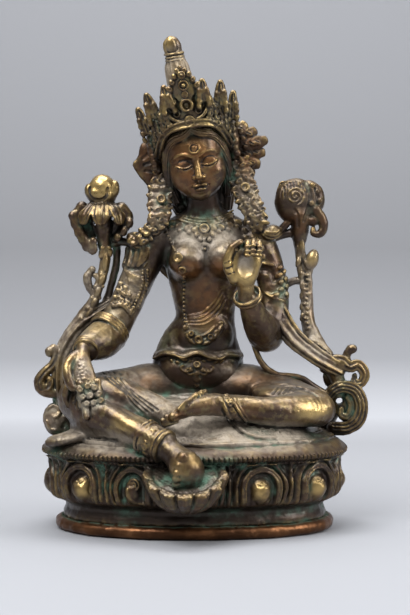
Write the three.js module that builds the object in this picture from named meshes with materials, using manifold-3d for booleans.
// A seated tara statuette, cast in one with its lotus throne, on a copper base plate.
// Millimetres, +Z up. The figure faces -Y, so its right side is at -X. The origin is the
// middle of the base plate, on its underside.
import * as THREE from "three";
import { mergeVertices } from "three/addons/utils/BufferGeometryUtils.js";
import Module from "manifold-3d";

const wasm = await Module();
wasm.setup();

// Driving dimensions
const PLATE_HEIGHT = 5.5;
const THRONE_TOP = 41;
const OVAL_POWER = 2.25; // exponent of the throne's plan, a little squarer than an ellipse
const WIDTH_OVER_DEPTH = 20.5; // by how much each half-width of the oval exceeds its half-depth
const PLATE_HALF_WIDTH = 59.8;
const NECK_HALF_WIDTH = 56;
const RIM_HALF_WIDTH = 65.5;
const PETALS = 12;
const HEAD_CENTRE = [1.5, 0, 159];
const HEAD_ROLL = -11; // degrees about +Y: the crown leans to the figure's right
const HEAD_NOD = 9; // degrees about +X: the face looks down

const SMALL_LIMB_SIDES = 6; // limbs with no more sides than this end in plain points
const WELD = 1e-4;
const SMOOTHING = 1.1; // facets closer than this to their neighbours are merged
const radians = THREE.MathUtils.degToRad;

// Solids

function solid(geometry) {
  const flat = geometry.index ? geometry.toNonIndexed() : geometry;
  const bare = new THREE.BufferGeometry();
  bare.setAttribute("position", flat.attributes.position.clone());
  const merged = mergeVertices(bare, WELD);
  const corners = [];
  for (let i = 0; i < merged.index.count; i += 3) {
    const [a, b, c] = [0, 1, 2].map((k) => merged.index.getX(i + k));
    if (a !== b && b !== c && c !== a) corners.push(a, b, c);
  }
  return new wasm.Manifold(
    new wasm.Mesh({
      numProp: 3,
      vertProperties: merged.attributes.position.array,
      triVerts: new Uint32Array(corners),
    }),
  );
}

function join(solids) {
  return solids.flat(Infinity).reduce((whole, next) => whole.add(next));
}

function meshOf(name, whole, material) {
  const { numProp, vertProperties, triVerts } = whole.getMesh();
  const positions = new Float32Array((vertProperties.length / numProp) * 3);
  for (let i = 0; i < positions.length / 3; i++) {
    positions.set(vertProperties.subarray(i * numProp, i * numProp + 3), i * 3);
  }
  const geometry = new THREE.BufferGeometry();
  geometry.setAttribute("position", new THREE.BufferAttribute(positions, 3));
  geometry.setIndex(new THREE.BufferAttribute(triVerts, 1));
  geometry.computeVertexNormals();
  const mesh = new THREE.Mesh(geometry, material);
  mesh.name = name;
  return mesh;
}

// A ball scaled to three radii, turned by angles in degrees about X, Y and Z, and moved.
function ellipsoid(centre, radii, turns = [0, 0, 0], around = 10, up = 6) {
  const geometry = new THREE.SphereGeometry(1, around, up);
  geometry.rotateX(Math.PI / 2);
  geometry.scale(...radii);
  const turn = new THREE.Euler(...turns.map(radians), "ZYX");
  geometry.applyQuaternion(new THREE.Quaternion().setFromEuler(turn));
  geometry.translate(...centre);
  return solid(geometry);
}

// A limb, band, stem or scroll: elliptical sections along a smooth path, with round ends.
// Each station is [x, y, z, half-width along wide, half-thickness across it].
function limb(stations, { wide = [0, 1, 0], sides = 8, steps = 2 } = {}) {
  const path = new THREE.CatmullRomCurve3(
    stations.map(([x, y, z]) => new THREE.Vector3(x, y, z)),
  );
  const sizes = new THREE.CatmullRomCurve3(
    stations.map(([, , , w, t]) => new THREE.Vector3(w, t ?? w, 0)),
  );
  const rings = steps * (stations.length - 1);
  const middle = Array.from({ length: rings + 1 }, (_, i) => [1, i / rings]);
  const round = sides > SMALL_LIMB_SIDES;
  const start = round ? [[0, -1], [0.65, -0.75]] : [[0, -0.7]];
  const end = round ? [[0.65, 1.75], [0, 2]] : [[0, 1.7]];
  const profile = [...start, ...middle, ...end];
  const geometry = new THREE.LatheGeometry(
    profile.map(([r, h]) => new THREE.Vector2(r, h)),
    sides,
  );
  const direction = new THREE.Vector3(...wide).normalize();
  const place = geometry.attributes.position;
  const at = new THREE.Vector3();
  for (let i = 0; i < place.count; i++) {
    at.fromBufferAttribute(place, i);
    const along = THREE.MathUtils.clamp(at.y, 0, 1);
    const beyond = at.y - along; // how far into a round end, in radii
    const centre = path.getPoint(along);
    const size = sizes.getPoint(along);
    const tangent = path.getTangent(along);
    const side = direction
      .clone()
      .addScaledVector(tangent, -direction.dot(tangent))
      .normalize();
    const across = new THREE.Vector3().crossVectors(side, tangent);
    centre.addScaledVector(tangent, beyond * Math.min(size.x, size.y));
    centre.addScaledVector(side, at.x * size.x);
    centre.addScaledVector(across, at.z * size.y);
    place.setXYZ(i, centre.x, centre.y, centre.z);
  }
  return solid(geometry);
}

// A solid turned about Z from a profile of [radius, height], whose round plan another function shapes.
function turned(profile, sides, shape) {
  const geometry = new THREE.LatheGeometry(
    profile.map(([r, h]) => new THREE.Vector2(r, h)),
    sides,
  );
  geometry.rotateX(Math.PI / 2);
  const place = geometry.attributes.position;
  for (let i = 0; i < place.count; i++) {
    const x = place.getX(i);
    const y = place.getY(i);
    const made = shape(Math.hypot(x, y), Math.atan2(y, x), place.getZ(i));
    place.setXYZ(i, ...made);
  }
  return solid(geometry);
}

// Point of the throne's oval plan with a given half-width, at an angle.
function ovalPoint(halfWidth, angle) {
  const halfDepth = Math.max(0, halfWidth - WIDTH_OVER_DEPTH);
  const power = 2 / OVAL_POWER;
  const c = Math.cos(angle);
  const s = Math.sin(angle);
  return [
    halfWidth * Math.sign(c) * Math.abs(c) ** power,
    halfDepth * Math.sign(s) * Math.abs(s) ** power,
  ];
}

function closedProfile(profile) {
  return [[0, profile[0][1]], ...profile, [0, profile[profile.length - 1][1]]];
}

function oval(profile, sides = 36) {
  return turned(closedProfile(profile), sides, (r, angle, z) =>
    r < WELD ? [0, 0, z] : [...ovalPoint(r, angle), z],
  );
}

// Evenly spaced places round the oval, each with its outward direction, starting at the front.
function placesRound(halfWidth, count) {
  const fine = 720;
  const points = [];
  let length = 0;
  for (let i = 0; i <= fine; i++) {
    const angle = -Math.PI / 2 + (i / fine) * 2 * Math.PI;
    const [x, y] = ovalPoint(halfWidth, angle);
    const last = points[points.length - 1];
    if (last) length += Math.hypot(x - last.x, y - last.y);
    points.push({ x, y, length });
  }
  return Array.from({ length: count }, (_, k) => {
    const wanted = (k / count) * length;
    const i = points.findIndex((p) => p.length >= wanted);
    const before = points[(i + fine - 1) % fine];
    const after = points[(i + 1) % fine];
    const outward = Math.atan2(before.x - after.x, after.y - before.y);
    return { x: points[i].x, y: points[i].y, outward };
  });
}

// The head and crown are made upright round the head's centre, then tilted together.
function tilted(parts) {
  return join(parts)
    .rotate([HEAD_NOD, 0, 0])
    .rotate([0, HEAD_ROLL, 0])
    .translate(HEAD_CENTRE);
}

// Throne and plate

function throneBody() {
  return oval([
    [NECK_HALF_WIDTH + 1.8, PLATE_HEIGHT],
    [NECK_HALF_WIDTH, PLATE_HEIGHT + 2.6],
    [NECK_HALF_WIDTH, 13],
    [NECK_HALF_WIDTH + 6, 17.5],
    [NECK_HALF_WIDTH + 9, 24],
    [NECK_HALF_WIDTH + 8.2, 30.5],
    [RIM_HALF_WIDTH - 1.6, 31.5],
    [RIM_HALF_WIDTH, 36.5],
    [RIM_HALF_WIDTH - 1.2, 39.5],
    [RIM_HALF_WIDTH - 4.5, THRONE_TOP],
  ]);
}

function thronePetals() {
  const wall = NECK_HALF_WIDTH + 5.6;
  return placesRound(wall, PETALS).map(({ x, y, outward }) => {
    const turn = THREE.MathUtils.radToDeg(outward) + 90;
    const out = (d) => [x + d * Math.cos(outward), y + d * Math.sin(outward)];
    return [
      ellipsoid([...out(0.8), 22.4], [12.4, 5.6, 10.2], [-20, 0, turn], 8, 5),
      ellipsoid([...out(5.2), 20.5], [3.4, 2.6, 4.8], [-20, 0, turn], 5, 4),
    ];
  });
}

// The small lotus that carries the figure's right foot, with a scalloped rim.
function footLotus() {
  const centre = [-4, -43.5];
  const lobes = 9;
  const profile = [
    [0, 12.5],
    [8, 13.4],
    [14, 18.5],
    [16.6, 24.5],
    [15.6, 26.2],
    [0, 26],
  ];
  const bowl = turned(profile, 18, (r, angle, z) => {
    const lobe = 1 + 0.04 * Math.abs(Math.sin((lobes * angle) / 2));
    return [
      centre[0] + r * lobe * Math.cos(angle),
      centre[1] + r * lobe * Math.sin(angle),
      z,
    ];
  });
  const stalk = limb(
    [
      [-4, -28, 14, 9, 5],
      [-4, -42, 17, 10, 4.5],
    ],
    { wide: [1, 0, 0] },
  );
  return [bowl, stalk];
}

// The cloth that lies on the seat under the crossed leg, and its hem.
function seatCloth() {
  const cloth = ellipsoid([23, -22, 40.5], [40, 20, 5.2], [4, 3, 0], 16, 6);
  const fold = limb(
    [
      [13, -33, 52, 1.4, 5.5],
      [18, -36.5, 46.5, 1.4, 4.5],
      [29, -37, 43, 1.3, 3.6],
      [46, -31, 42.2, 1.2, 3],
      [58, -18, 41.6, 1.2, 2.4],
    ],
    { wide: [0.2, -0.6, 0.8] },
  );
  const underThigh = ellipsoid([-27, -8, 46], [29, 22, 11], [0, -4, 22], 12, 6);
  const underLeftThigh = ellipsoid([27, -2, 46], [26, 18, 9], [0, 4, -16], 12, 6);
  const rimCushion = ellipsoid([-53, -20, 41], [8, 10, 3.2], [0, 0, 30], 8, 4);
  return [cloth, fold, underThigh, underLeftThigh, rimCushion];
}

// Body

function torso() {
  const trunk = limb(
    [
      [1.4, 11, 52, 19, 13],
      [1.4, 10, 64, 19.8, 13.6],
      [1.5, 10, 73, 19.6, 13.2],
      [3, 10, 81.5, 15, 10.6],
      [4.7, 9, 91, 12.6, 9],
      [4.2, 8.5, 103, 15.4, 10.4],
      [4.6, 7.5, 115, 18.8, 11.6],
      [4.8, 7, 125.5, 20.5, 10],
      [4.6, 6.5, 132.5, 12, 8],
    ],
    { wide: [1, 0, 0], sides: 14 },
  );
  const breasts = [-3.9, 13.8].map((x) =>
    ellipsoid([x, -0.2, 116.6], [8.6, 7, 8.4]),
  );
  const neck = limb([
    [4.4, 5.5, 130, 8.2],
    [3.4, 3, 146, 7.6],
  ]);
  return [trunk, breasts, neck];
}

function beltAndApron() {
  const beltTop = [
    [-18.6, 8, 72.5, 2, 1.2],
    [-12, -0.4, 73.4, 2, 1.2],
    [1, -4.4, 74.8, 2, 1.2],
    [14, -0.4, 73.4, 2, 1.2],
    [21.6, 8, 72.5, 2, 1.2],
  ];
  const belt = limb(beltTop, { wide: [0, 0, 1], sides: 8 });
  const apron = ellipsoid([1.4, 2, 64], [17.5, 7.4, 9.5], [14, 0, 0], 12, 6);
  const clasp = ellipsoid([1, -5.2, 67.5], [7.5, 2.2, 4.6], [8, 0, 0], 8, 6);
  const pendant = ellipsoid([1, -5.8, 61.5], [2.2, 1.8, 3], [8, 0, 0], 8, 6);
  return [belt, apron, clasp, pendant];
}

function necklace() {
  const collar = limb(
    [
      [-10.5, 5, 131.5, 2.4, 1.3],
      [-4.5, -2.2, 127, 2.8, 1.5],
      [4.7, -4.6, 125.2, 3.2, 1.6],
      [13.8, -2.2, 127.2, 2.8, 1.5],
      [19.8, 5, 132, 2.4, 1.3],
    ],
    { wide: [0, 0, 1], sides: 6 },
  );
  const drop = ellipsoid([4.8, -5.2, 120.6], [3.2, 1.8, 4], [12, 0, 0], 8, 4);
  return [collar, drop];
}

function legs() {
  const sideways = { wide: [0, 0, 1] };
  const rightThigh = limb(
    [
      [-8, 10, 57, 11.5],
      [-29, 0, 57.5, 10.4],
      [-48.5, -13, 56.5, 9.4],
    ],
    sideways,
  );
  const rightShin = limb(
    [
      [-48.5, -14.5, 55, 9.6, 9.2],
      [-41, -24, 50, 8.2, 7.6],
      [-30, -33, 47, 6.4],
      [-14.5, -43, 41, 5.6],
    ],
    sideways,
  );
  const rightCuff = limb(
    [
      [-19.5, -40.5, 43.4, 7, 6.6],
      [-13, -44.5, 40.4, 6.2, 6],
    ],
    sideways,
  );
  const leftThigh = limb(
    [
      [12, 10, 57, 11.5],
      [34, 2, 56, 10.2],
      [51.5, -11, 50.5, 8.8],
    ],
    sideways,
  );
  const leftCalf = limb(
    [
      [51.5, -13, 50, 9],
      [44, -23, 50, 7.6],
      [29, -28.5, 51, 6.8],
      [14, -32, 54, 5],
      [5, -34, 55.6, 4],
    ],
    sideways,
  );
  return [rightThigh, rightShin, rightCuff, leftThigh, leftCalf];
}

// A foot from its ankle to its toes: a tapering sole with a row of toes along one edge.
function foot(ankle, heel, ball, toes, toeRadii) {
  const sole = limb([ankle, heel, ball], { wide: [0, 0, 1] });
  const knobs = toes.map((toe, i) =>
    ellipsoid(toe, Array(3).fill(toeRadii[i]), [0, 0, 0], 6, 4),
  );
  return [sole, knobs];
}

function feet() {
  const rightToes = [
    [-4.4, -56.2, 36.6],
    [-6, -57, 33.4],
    [-6.6, -57.2, 30.6],
    [-7, -57, 28.2],
    [-7, -56.2, 26.2],
  ];
  const right = foot(
    [-12, -45, 39.5, 5],
    [-6, -49.5, 34, 7.6, 5.6],
    [-2.4, -52.5, 30.6, 7.6, 6],
    rightToes,
    [2.6, 2, 1.8, 1.7, 1.5],
  );
  const leftToes = [0, 1, 2, 3, 4].map((i) => [
    -9.6 + 2 * i,
    -43 + 0.3 * i,
    51.8 - 0.9 * i,
  ]);
  const left = foot(
    [6, -34.5, 55.4, 4],
    [0, -36.5, 54.5, 4.4, 4],
    [-6, -40, 52.4, 4, 4],
    leftToes,
    [2.2, 1.9, 1.8, 1.7, 1.6],
  );
  return [right, left];
}

function arms() {
  const right = limb([
    [-20.5, 7.5, 122.5, 8.6],
    [-27, 6, 110, 7.6],
    [-33, 4, 95, 7.2],
    [-38.5, 0, 83.5, 7.6],
  ]);
  const rightForearm = limb([
    [-38.5, 0, 82.5, 8.4],
    [-42, -9, 80.5, 7.4],
    [-46.6, -19.5, 79, 4.6],
  ]);
  const left = limb([
    [30.5, 7.5, 122.5, 8],
    [34.5, 6, 108, 6.8],
    [34.5, 4, 95, 6.8],
    [31, 0, 83, 7.4],
  ]);
  const leftForearm = limb([
    [30.5, -1, 82, 7.6],
    [26.5, -11, 89, 6.8],
    [22.6, -19.5, 98.6, 4.6],
  ]);
  return [right, rightForearm, left, leftForearm];
}

// A ring round a limb, lying across the limb's direction.
function bangle(centre, radius, thickness, direction) {
  const geometry = new THREE.TorusGeometry(radius, thickness, 4, 12);
  const facing = new THREE.Vector3(...direction).normalize();
  const turn = new THREE.Quaternion().setFromUnitVectors(
    new THREE.Vector3(0, 0, 1),
    facing,
  );
  geometry.applyQuaternion(turn);
  geometry.translate(...centre);
  return solid(geometry);
}

function bangles() {
  return [
    bangle([-40.5, -5, 81.2], 8.4, 1.7, [-0.45, -0.85, -0.3]),
    bangle([-46, -18, 79], 5.2, 1.3, [-0.4, -0.9, -0.2]),
    bangle([23.2, -18.2, 97], 5.2, 1.3, [-0.35, -0.75, 0.9]),
    bangle([35.2, 6.2, 105.5], 7, 1.8, [0.05, 0, 1]),
    bangle([-24.4, 6.8, 115.5], 8, 1.5, [-0.4, 0, -1]),
    bangle([31.4, 7.3, 119], 7.9, 1.4, [0.3, 0, -1]),
  ];
}

function rightHand() {
  const palm = limb(
    [
      [-47, -21, 77.5, 4.4, 3.8],
      [-46.8, -25.6, 71, 7.4, 3.6],
      [-45.4, -27.2, 64, 7, 3.2],
    ],
    { wide: [1, 0, 0] },
  );
  const fingers = [-3.6, -1.2, 1.2, 3.6].map((dx, i) =>
    limb(
      [
        [-44.4 + dx, -27.6, 65, 1.6],
        [-44 + dx * 1.1, -28.6, 59 + (i % 3), 1.5],
        [-43.6 + dx, -27.6, 54 + (i % 3), 1.2],
      ],
      { sides: 5, steps: 1 },
    ),
  );
  const thumb = limb(
    [
      [-50, -21.5, 75, 2.2],
      [-53.6, -25, 69.5, 2.3],
      [-52.4, -27.6, 63.5, 2.1],
      [-51.4, -27, 58.5, 1.6],
    ],
    { sides: 6, steps: 1 },
  );
  const blossom = ellipsoid([-44, -29.6, 61.5], [5.6, 2.6, 5.2], [0, 0, 0], 8, 4);
  return [palm, fingers, thumb, blossom];
}

function leftHand() {
  const palm = limb(
    [
      [22.2, -20.5, 101, 4.2, 3.4],
      [21.4, -22.6, 107.5, 5.6, 3.4],
      [21.8, -22.8, 114.5, 6.4, 3],
    ],
    { wide: [1, 0, 0] },
  );
  const fingers = [0, 1, 2].map((i) =>
    limb(
      [
        [20.6 + 2.9 * i, -22.4, 114 - i, 1.8],
        [21.2 + 2.9 * i, -22.6, 121 - 0.9 * i, 1.8],
        [21.2 + 2.8 * i, -26, 121 - 1.2 * i, 1.7],
        [20.8 + 2.6 * i, -27, 117.4 - i, 1.5],
      ],
      { sides: 6, steps: 1 },
    ),
  );
  const ringOfThumbAndFinger = limb(
    [
      [18, -23, 107, 2.3],
      [14.6, -25.4, 111, 2.1],
      [14.4, -26.4, 115.5, 2],
      [17.2, -25, 119.6, 1.8],
      [19.4, -23, 116, 1.8],
    ],
    { sides: 6 },
  );
  return [palm, fingers, ringOfThumbAndFinger];
}

// Head

function headAndHair() {
  const skull = ellipsoid([0, 1.5, 2], [14, 14.2, 15.5], [0, 0, 0], 14, 8);
  const face = ellipsoid([0, -1.5, -3], [12.6, 12, 15.2], [0, 0, 0], 14, 8);
  const jaw = ellipsoid([0, -4.5, -11], [8.6, 8.2, 7.6], [0, 0, 0], 10, 6);
  const nose = limb(
    [
      [0, -12.4, 1, 1.4],
      [0, -14.4, -5.5, 1.8],
    ],
    { sides: 6, steps: 2 },
  );
  const hair = ellipsoid([0, 8, -2], [13, 9.5, 14.5], [0, 0, 0], 12, 6);
  return [skull, face, jaw, nose, hair];
}

function topknot() {
  const lean = radians(-1);
  const stations = [
    [13, 8.6],
    [20, 7.6],
    [26, 6.8],
    [33, 5.6],
    [40, 4.3],
    [45.5, 3.6],
    [49, 3.9],
    [52.5, 3.2],
  ];
  return limb(
    stations.map(([z, r]) => [z * Math.sin(lean), 1 + 0.03 * z, z, r]),
    { wide: [1, 0, 0], sides: 10, steps: 1 },
  );
}

// One leaf of the crown: a pointed blade standing on the band and flaring outward.
function crownLeaf(azimuth, radius, flare, foot, top, halfWidth) {
  const angle = radians(azimuth);
  const place = (r, z) => [r * Math.sin(angle), 1 - r * Math.cos(angle), z];
  const rise = top - foot;
  return limb(
    [
      [...place(radius, foot), halfWidth, 1.8],
      [...place(radius + flare * 0.4, foot + rise * 0.35), halfWidth * 1.05, 1.9],
      [...place(radius + flare * 0.8, foot + rise * 0.68), halfWidth * 0.8, 1.7],
      [...place(radius + flare, top - 1.4), halfWidth * 0.3, 1.1],
    ],
    { wide: [Math.cos(angle), Math.sin(angle), 0], sides: 6, steps: 1 },
  );
}

function crown() {
  const band = limb(
    [
      [-14.6, 3, 4, 1.7, 2],
      [-12.8, -6, 9.4, 1.7, 2],
      [-7, -12.4, 13, 1.7, 2],
      [0, -14.4, 14.2, 1.7, 2],
      [7, -12.4, 13, 1.7, 2],
      [12.8, -6, 9.4, 1.7, 2],
      [14.6, 3, 4, 1.7, 2],
    ],
    { wide: [0, 0, 1], sides: 6, steps: 1 },
  );
  const cap = ellipsoid([0, 1, 11], [14.4, 13, 10]);
  const pairs = [
    [34, 14, 2.4, 12, 32.6, 4.6],
    [57, 14, 4.6, 10, 30.6, 4.8],
    [80, 14.4, 6.4, 7, 25.4, 5],
    [98, 15.4, 7, 3, 17, 4.4],
  ];
  const leaves = pairs.flatMap(([azimuth, ...sizes]) => [
    crownLeaf(azimuth, ...sizes),
    crownLeaf(-azimuth, ...sizes),
  ]);
  const centreLeaf = crownLeaf(0, 13.4, 1, 13, 39.6, 7.6);
  const jewel = ellipsoid([0, -15.6, 19], [2.6, 1.6, 3.2], [0, 0, 0], 6, 4);
  const sideFans = [
    ellipsoid([-19.4, 6, -5], [7.4, 3, 11], [0, -14, 0]),
    ellipsoid([-25, 6, -5.4], [3, 2, 4.6], [0, -40, 0], 6, 4),
    ellipsoid([20.6, 6, 1.4], [9, 3, 12.4], [0, 14, 0]),
    ellipsoid([28.4, 6, 1.6], [3.2, 2.2, 5.4], [0, 30, 0], 6, 4),
  ];
  return [band, cap, leaves, centreLeaf, jewel, sideFans];
}

function earrings() {
  const right = limb(
    [
      [-13.4, 3, 153, 4.6, 2.4],
      [-15.4, 1, 144, 4.9, 2.2],
      [-15.6, -2, 135.5, 4.6, 2.2],
      [-19, -1.4, 129.6, 3.4, 2],
      [-25.4, 0, 124.6, 2.6, 1.8],
    ],
    { wide: [1, 0, 0.4], sides: 8, steps: 2 },
  );
  const left = limb(
    [
      [18, 3, 157, 4.8, 2.4],
      [19.8, 1, 148.5, 5, 2.2],
      [22, -1, 140.5, 4.6, 2.2],
      [24.8, -2.4, 133.6, 3.8, 2],
      [27.6, -2.4, 129.2, 2.8, 1.8],
    ],
    { wide: [1, 0, 0], sides: 8, steps: 2 },
  );
  return [right, left];
}

// Hair and cloth down the back, which the front view does not show.
function backHair() {
  return limb(
    [
      [2.6, 9, 150, 10, 5],
      [4, 14, 138, 9.5, 4.5],
      [4.6, 16.5, 126, 8.5, 3.6],
      [4.6, 17.5, 116, 5.5, 2.6],
    ],
    { wide: [1, 0, 0] },
  );
}

// Lotus sprays and scarves

function spray(stations) {
  return limb(stations, { sides: 5 });
}

function rightSpray() {
  const stem = spray([
    [-54, 14, 39, 3.6],
    [-58.5, 9, 52, 4],
    [-58.5, 6, 66, 4.4],
    [-55.5, 5, 79, 4.6],
    [-48, 5, 90.5, 4],
    [-44, 6, 103, 3],
    [-40.2, 6, 118, 3.4],
    [-40.2, 6, 132, 3.8],
  ]);
  const bowl = turned(
    [
      [0, 127],
      [5, 128],
      [9.5, 132.5],
      [12.4, 137.5],
      [11, 141.5],
      [0, 143.5],
    ],
    12,
    (r, angle, z) => [-40.4 + r * Math.cos(angle), 6 + 0.8 * r * Math.sin(angle), z],
  );
  const bud = ellipsoid([-40.9, 6, 146.3], [7.3, 6.6, 6.4], [0, 0, 0], 12, 6);
  const hangingPetal = spray([
    [-50.5, 5, 139.5, 3],
    [-52.8, 4.5, 133, 2.8],
    [-50, 4.5, 126, 2.8],
    [-46.6, 4.5, 121.6, 3],
  ]);
  const innerPetal = spray([
    [-31.6, 6, 139, 3],
    [-29.6, 6, 133.5, 2.6],
    [-33.6, 6, 126.5, 2.6],
    [-37.6, 6, 119, 2.4],
  ]);
  const tieToShoulder = limb([
    [-33, 6.5, 123.5, 2.2],
    [-25, 7, 122.5, 3],
  ]);
  const sideBud = ellipsoid([-48.6, 5.5, 108], [2.6, 2.6, 5], [0, 12, 0], 8, 6);
  const sideTwig = spray([
    [-48.2, 5.5, 106, 1.8],
    [-46.6, 5.5, 99, 2],
    [-46, 5, 93, 2.4],
  ]);
  return [stem, bowl, bud, hangingPetal, innerPetal, tieToShoulder, sideBud, sideTwig];
}

function leftSpray() {
  const stem = spray([
    [55, 13, 39, 3.6],
    [61, 8, 50, 3.6],
    [63.4, 3, 62, 3.6],
    [60, 1, 71, 4.2],
    [54, 3, 79, 4.6],
    [50.4, 6, 90, 3.4],
    [48.8, 8, 103, 3],
    [47, 8, 117, 3.2],
    [45.8, 8, 130, 4],
  ]);
  const flower = ellipsoid([45.8, 8, 141.5], [10.8, 8.6, 12], [0, 0, 0], 12, 8);
  const hangingPetal = ellipsoid([54.4, 6.5, 131.8], [3.6, 3, 4.6], [0, 0, 0], 10, 6);
  const tieToShoulder = limb([
    [33, 7.5, 125.5, 2.6],
    [43, 8, 128.5, 2.6],
  ]);
  const sideBud = ellipsoid([52, 7, 116.4], [3, 3, 4.6], [0, -20, 0], 8, 6);
  const sideTwig = spray([
    [51.6, 7, 114, 1.8],
    [50, 7, 109, 2],
    [48.4, 7.6, 103, 2.2],
  ]);
  const link = limb([
    [38, 6, 104, 2.2],
    [49, 7.6, 106.5, 2.2],
  ]);
  return [stem, flower, hangingPetal, tieToShoulder, sideBud, sideTwig, link];
}

// The scrolls of leaf beside each knee.
function sideScrolls() {
  const right = [
    spray([
      [-64.4, 2, 75.6, 1.5],
      [-62.6, 2, 78, 1.8],
      [-60.2, 2, 75, 2],
      [-62, 2, 69.6, 2.2],
      [-67, 2, 66.4, 2.6],
      [-69.4, 2, 62, 2.8],
      [-66.4, 2, 58.6, 2.8],
      [-62.8, 2, 61.6, 2.2],
      [-64, 2, 65, 1.8],
    ]),
    spray([
      [-66, 2, 60, 2.2],
      [-61, 3, 58, 3],
      [-55, 5, 60, 3],
    ]),
    spray([
      [-62, 3, 57, 2.4],
      [-66.4, 2, 51, 2.6],
      [-65.6, 2, 44, 3],
      [-60, 3, 40.6, 3.4],
      [-56.5, 5, 44, 3.2],
      [-59, 5, 50, 2.6],
    ]),
  ];
  const left = [
    spray([
      [66, 1, 75, 1.6],
      [68.2, 1, 77, 2.2],
      [67, 1, 72.6, 2],
      [70, 1, 70, 2.4],
      [74, 1, 66.4, 2.8],
      [71.6, 1, 61.8, 2.6],
      [67.6, 1, 64, 2.2],
      [69.4, 1, 67, 1.8],
    ]),
    spray([
      [58, 2, 68, 3],
      [63, 1, 69, 2.8],
      [66.4, 1, 71, 2.4],
    ]),
    spray([
      [58.6, 3, 56, 2.6],
      [63.6, 1, 60.6, 2.8],
      [69.4, 1, 60, 3],
      [73, 1, 53.6, 3.4],
      [70.4, 1, 46, 3.8],
      [63.6, 3, 42.6, 4],
      [60.6, 5, 47, 3],
    ]),
  ];
  const leftEye = ellipsoid([65.8, 2, 51], [3.6, 2.6, 4.2], [0, 0, 0], 8, 6);
  return [right, left, leftEye];
}

function scarves() {
  const flat = { wide: [0.3, 1, 0.2], sides: 8 };
  const fromRightShoulder = limb(
    [
      [-41, 8, 94, 5, 3],
      [-50, 7, 88, 5.4, 3.6],
      [-57, 6, 76, 5, 4],
      [-58.5, 6, 62, 4.6, 3.6],
      [-56, 8, 48, 4.4, 3],
      [-52, 10, 39, 4, 3],
    ],
    flat,
  );
  const overLeftElbow = limb(
    [
      [34, 4, 97, 5.6, 3.6],
      [38, 0, 89, 5.6, 4.4],
      [43.5, -2, 81, 5, 3.6],
      [52, -1, 74.6, 4.4, 3.6],
      [60, 0, 69, 4, 3.4],
    ],
    flat,
  );
  const tail = limb(
    [
      [27, -1, 80, 1.6, 1.4],
      [28, -1, 72, 1.6, 1.4],
      [34, -1, 65.6, 1.7, 1.5],
      [43.5, -1, 63.6, 1.8, 1.6],
      [51, -1, 60, 1.8, 1.6],
      [57, 1, 56, 1.8, 1.6],
    ],
    flat,
  );
  return [fromRightShoulder, overLeftElbow, tail];
}

// Assembly

// A body with its finest facets merged, and without the slivers that this can leave loose.
function simplified(whole) {
  const bodies = whole.asOriginal().simplify(SMOOTHING).decompose();
  return bodies.sort((a, b) => b.volume() - a.volume())[0];
}

function figure() {
  return join([
    seatCloth(),
    torso(),
    beltAndApron(),
    necklace(),
    legs(),
    feet(),
    arms(),
    bangles(),
    rightHand(),
    leftHand(),
    tilted([headAndHair(), topknot(), crown()].flat(Infinity)),
    earrings(),
    backHair(),
    rightSpray(),
    leftSpray(),
    sideScrolls(),
    scarves(),
  ]);
}

function casting() {
  return join([throneBody(), thronePetals(), footLotus(), simplified(figure())]);
}

function copperPlate() {
  const half = PLATE_HALF_WIDTH;
  return oval([
    [half - 3, 0],
    [half - 1.2, 0.5],
    [half - 0.2, 1.8],
    [half, 3],
    [half - 0.6, 4.4],
    [half - 1.8, PLATE_HEIGHT],
  ]);
}

const brass = new THREE.MeshStandardMaterial({
  color: 0x6b5333,
  roughness: 0.42,
  metalness: 0.9,
});
const copper = new THREE.MeshStandardMaterial({
  color: 0x8a4f2e,
  roughness: 0.38,
  metalness: 0.95,
});

const statuette = new THREE.Group();
statuette.add(meshOf("tara_on_lotus_throne", casting(), brass));
statuette.add(meshOf("copper_base_plate", copperPlate(), copper));

export default statuette;
